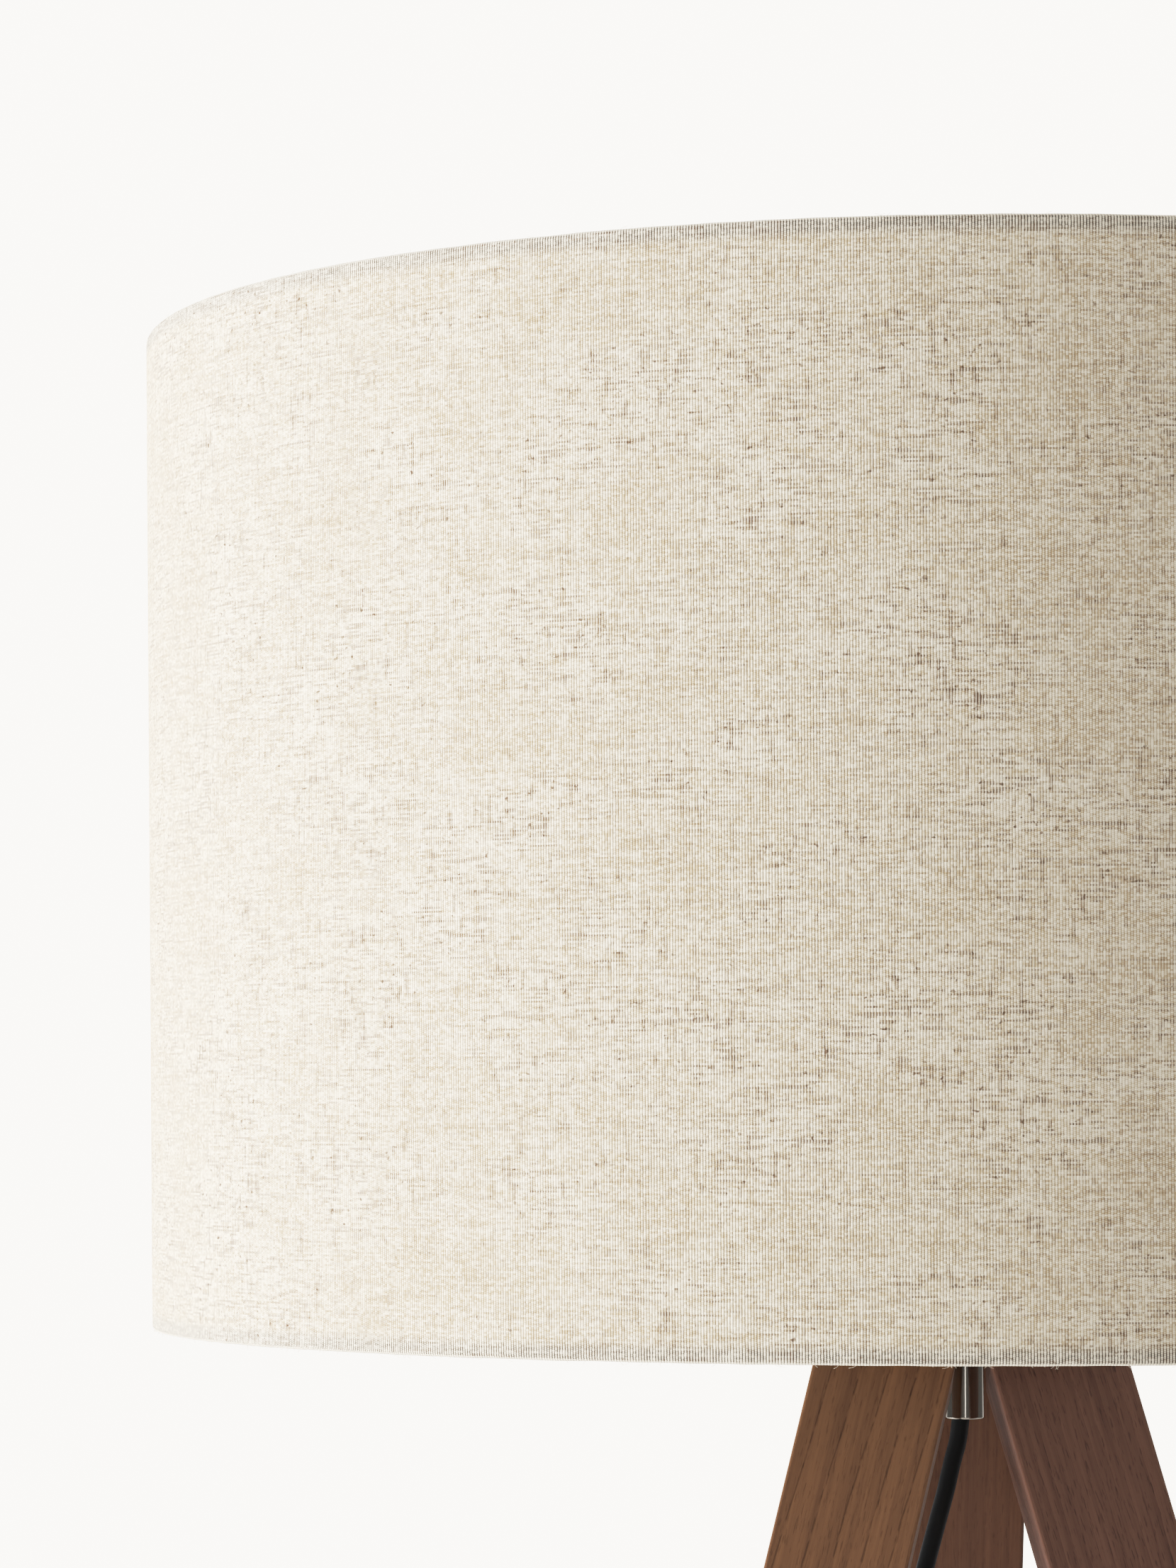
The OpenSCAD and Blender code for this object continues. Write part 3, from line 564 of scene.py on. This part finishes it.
def evenly(line, spacing):
    """The line with extra points so that none of its parts is longer than spacing."""
    result = [line[0]]
    for start, end in zip(line, line[1:]):
        parts = max(1, math.ceil((end - start).length / spacing))
        result += [start.lerp(end, i / parts) for i in range(1, parts + 1)]
    return result


def cover_section():
    """The cloth's middle line (r, z): up the lower hem's band, round the rim, up, and over again."""
    half = CLOTH_T / 2
    low = SHADE_Z0 + half
    high = SHADE_Z1 - half
    corners = [
        (BOTTOM_HEM_R, low + HEM_H), (BOTTOM_HEM_R, low), (shade_radius(low) - half, low),
        (shade_radius(high) - half, high), (TOP_HEM_R, high), (TOP_HEM_R, high - HEM_H),
    ]
    return evenly(rounded(corners, RIM_TURN), COVER_ROW)


def thick_outline(line, thickness):
    """A closed outline that far round an open line."""
    sides = ([], [])
    for i, point in enumerate(line):
        along = (line[min(i + 1, len(line) - 1)] - line[max(i - 1, 0)]).normalized()
        across = Vector((along.y, -along.x)) * thickness / 2
        sides[0].append(point + across)
        sides[1].append(point - across)
    return sides[0] + sides[1][::-1]


def cloth_give(angle, z):
    """How far the stretched cloth stands out or in, and its rims up or down, at one place."""
    around = Vector((math.cos(angle), math.sin(angle)))
    broad = noise.noise(Vector((around.x * 4.5, around.y * 4.5, z * 2.0)))
    fine = noise.noise(Vector((around.x * 16, around.y * 16, z * 5 + 3)))
    rim = noise.noise(Vector((around.x * 30, around.y * 30, 9)))
    return (broad * 0.16 + fine * 0.05) * MM, rim * 0.14 * MM


def add_cover():
    """The linen sheet: stretched round the drum and folded over both wire rings."""
    outline = thick_outline(cover_section(), CLOTH_T)
    count = len(outline)
    middle = (SHADE_Z0 + SHADE_Z1) / 2
    vertices = []
    for column in range(COVER_COLUMNS):
        angle = 2 * math.pi * column / COVER_COLUMNS
        for r, z in outline:
            out, lift = cloth_give(angle, z)
            near_rim = max(0.0, abs(z - middle) / (middle - SHADE_Z0)) ** 12
            reach = r + out * (1 - near_rim) if r > TOP_HEM_R + MM else r
            lifted = z + lift * near_rim
            vertices.append((reach * math.cos(angle), reach * math.sin(angle), lifted))
    faces = []
    for column in range(COVER_COLUMNS):
        here = column * count
        there = (column + 1) % COVER_COLUMNS * count
        for i in range(count):
            j = (i + 1) % count
            faces.append((here + i, there + i, there + j, here + j))
    cover = mesh_piece("linen_cover", vertices, faces, FINISH["linen"])
    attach(cover, "shade")
    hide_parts("shade_cover", "shade_top_hem", "shade_bottom_hem")
    return cover


SEAM_W = 12 * MM
SEAM_ROWS = 80
SEAM_LIFT = 0.15 * MM


def add_seam():
    """The cover's overlapped end: a strip of cloth up the back, folded under along its free side."""
    section = [(-0.5, 0), (0.44, 0.50), (0.49, 0.46), (0.5, 0.25), (0.49, 0.04), (0.40, -0.1)]
    vertices = []
    for row in range(SEAM_ROWS + 1):
        z = SHADE_Z0 + (SHADE_Z1 - SHADE_Z0) * row / SEAM_ROWS
        wander = noise.noise(Vector((0, 0, z * 14))) * 0.35 * MM
        for side, lift in section:
            angle = math.pi / 2 + (side * SEAM_W + wander) / SHADE_R
            r = shade_radius(z) - SEAM_LIFT + lift * MM
            vertices.append((r * math.cos(angle), r * math.sin(angle), z))
    count = len(section)
    faces = []
    for row in range(SEAM_ROWS):
        for i in range(count):
            j = (i + 1) % count
            low = row * count
            faces.append((low + i, low + j, low + count + j, low + count + i))
    faces.append(tuple(range(count))[::-1])
    faces.append(tuple(SEAM_ROWS * count + i for i in range(count)))
    seam = mesh_piece("linen_overlap", vertices, faces, FINISH["linen"])
    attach(seam, "shade")
    return seam


FIBRES = 420
FIBRE_R = 0.035 * MM
FIBRE_POINTS = 5


def add_fibres():
    """Loose ends of thread that curl out of both rims, most of them at the bottom."""
    draw = random.Random(7)
    runs = []
    for _ in range(FIBRES):
        angle = draw.uniform(0, 2 * math.pi)
        at_top = draw.random() < 0.25
        up = 1 if at_top else -1
        z = SHADE_Z1 if at_top else SHADE_Z0
        r = shade_radius(z) - draw.uniform(0.2, 1.4) * MM
        length = draw.uniform(0.5, 1.5) * MM
        sideways = draw.uniform(-1.6, 1.6)
        curl = draw.uniform(-1.2, 1.2)
        points = []
        for i in range(FIBRE_POINTS):
            t = i / (FIBRE_POINTS - 1)
            turn = angle + length * (sideways * t + curl * t * t) / r
            drop = length * (t - 0.35 * t * t)
            reach = r + length * 0.25 * t * curl
            points.append((reach * math.cos(turn), reach * math.sin(turn), z + up * (drop - 0.1 * MM)))
        runs.append(points)
    fibres = curve_piece("rim_fibres", runs, FIBRE_R, FINISH["linen"], ring=6)
    fibres.data.resolution_u = 2
    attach(fibres, "shade")
    return fibres


def add_linen():
    cover = add_cover()
    add_seam()
    add_fibres()


add_linen()


# The studio ----------------------------------------------------------------------------------------

BACKDROP = (2.55, 2.44, 2.24)
AMBIENT = 0.70
MIRRORED_WALL = 1.3
MIRRORED_ROOM = 0.17
FLOOR_R = 3.4
FLOOR_SIDES = 64
FLOOR_PALE = (0.80, 0.79, 0.775)
FLOOR_PALER = (0.83, 0.82, 0.805)

# Where each light stands, what it faces, its width and height, and its power in watts
KEY = {"at": (-3.59, -0.28, 1.3), "aim": (0, 0, 1.3), "size": (1.4, 3.0), "power": 400}
STRIP = {"at": (0.02, -2.6, 1.2), "aim": (0, 0, 1.17), "size": (0.16, 1.4), "power": 3}


def add_world():
    """An even pale room. The camera sees its wall brighter than it shines, and glossy pieces
    mirror a bright wall behind the lamp and a dim room on its other sides."""
    world = bpy.data.worlds.new("studio")
    world.use_nodes = True
    tree = world.node_tree
    path = tree.nodes.new("ShaderNodeLightPath")
    direction = tree.nodes.new("ShaderNodeTexCoord").outputs["Generated"]
    split = tree.nodes.new("ShaderNodeSeparateXYZ")
    tree.links.new(direction, split.inputs[0])
    mirrored = Field(tree, split.outputs["Y"]).step(0.45, 0.75, MIRRORED_ROOM, MIRRORED_WALL)
    glossy = Field(tree, path.outputs["Is Glossy Ray"])
    shine = tree.nodes["Background"]
    plug(tree, shine.inputs["Strength"], mirrored * glossy + (glossy * -1 + 1) * AMBIENT)
    shine.inputs["Color"].default_value = (1, 1, 1, 1)
    seen = tree.nodes.new("ShaderNodeBackground")
    seen.inputs["Color"].default_value = (*BACKDROP, 1)
    choose = tree.nodes.new("ShaderNodeMixShader")
    tree.links.new(path.outputs["Is Camera Ray"], choose.inputs[0])
    tree.links.new(shine.outputs[0], choose.inputs[1])
    tree.links.new(seen.outputs[0], choose.inputs[2])
    tree.links.new(choose.outputs[0], tree.nodes["World Output"].inputs["Surface"])
    bpy.context.scene.world = world


def add_light(name, at, aim, size, power, mirrored=False):
    """A soft panel that the camera never sees, and that glossy pieces show only where mirrored."""
    data = bpy.data.lights.new(name, "AREA")
    data.shape = "RECTANGLE"
    data.size, data.size_y = size
    data.energy = power
    light = link(name, data)
    light.location = at
    light.rotation_mode = "QUATERNION"
    light.rotation_quaternion = (Vector(aim) - Vector(at)).to_track_quat("-Z", "Y")
    light.visible_glossy = mirrored
    light.visible_camera = False


def add_floor():
    finish = Finish("studio_floor", FLOOR_PALE, 0.7)
    x, y, z = finish.place()
    tint = finish.noise(x * 2.5, y * 2.5, detail=3)
    finish.set("Base Color", finish.mix(tint, FLOOR_PALE, FLOOR_PALER))
    angles = [2 * math.pi * i / FLOOR_SIDES for i in range(FLOOR_SIDES)]
    rim = [(FLOOR_R * math.cos(angle), FLOOR_R * math.sin(angle), 0) for angle in angles]
    mesh_piece("floor", rim, [tuple(range(FLOOR_SIDES))], finish.material, smooth=False)


# Pairs of how bright the scene is and how bright the picture shows it, both linear: highlights
# are held back
TONE_WHITE = 3.0
TONE = [(0, 0), (0.2, 0.2), (0.42, 0.42), (0.66, 0.585), (1.0, 0.72), (1.386, 0.81), (1.83, 0.88),
        (2.4, 0.938), (3.0, 0.975)]


def set_tone():
    settings = bpy.context.scene.view_settings
    settings.view_transform = "Standard"
    settings.look = "None"
    settings.use_curve_mapping = True
    mapping = settings.curve_mapping
    mapping.white_level = (TONE_WHITE,) * 3
    curve = mapping.curves[3]
    curve.points[0].location = TONE[0]
    curve.points[-1].location = (1, TONE[-1][1])
    for bright, shown in TONE[1:-1]:
        curve.points.new(bright / TONE_WHITE, shown)
    mapping.update()


add_world()
add_floor()
add_light("key", **KEY)
add_light("strip", **STRIP, mirrored=True)
set_tone()
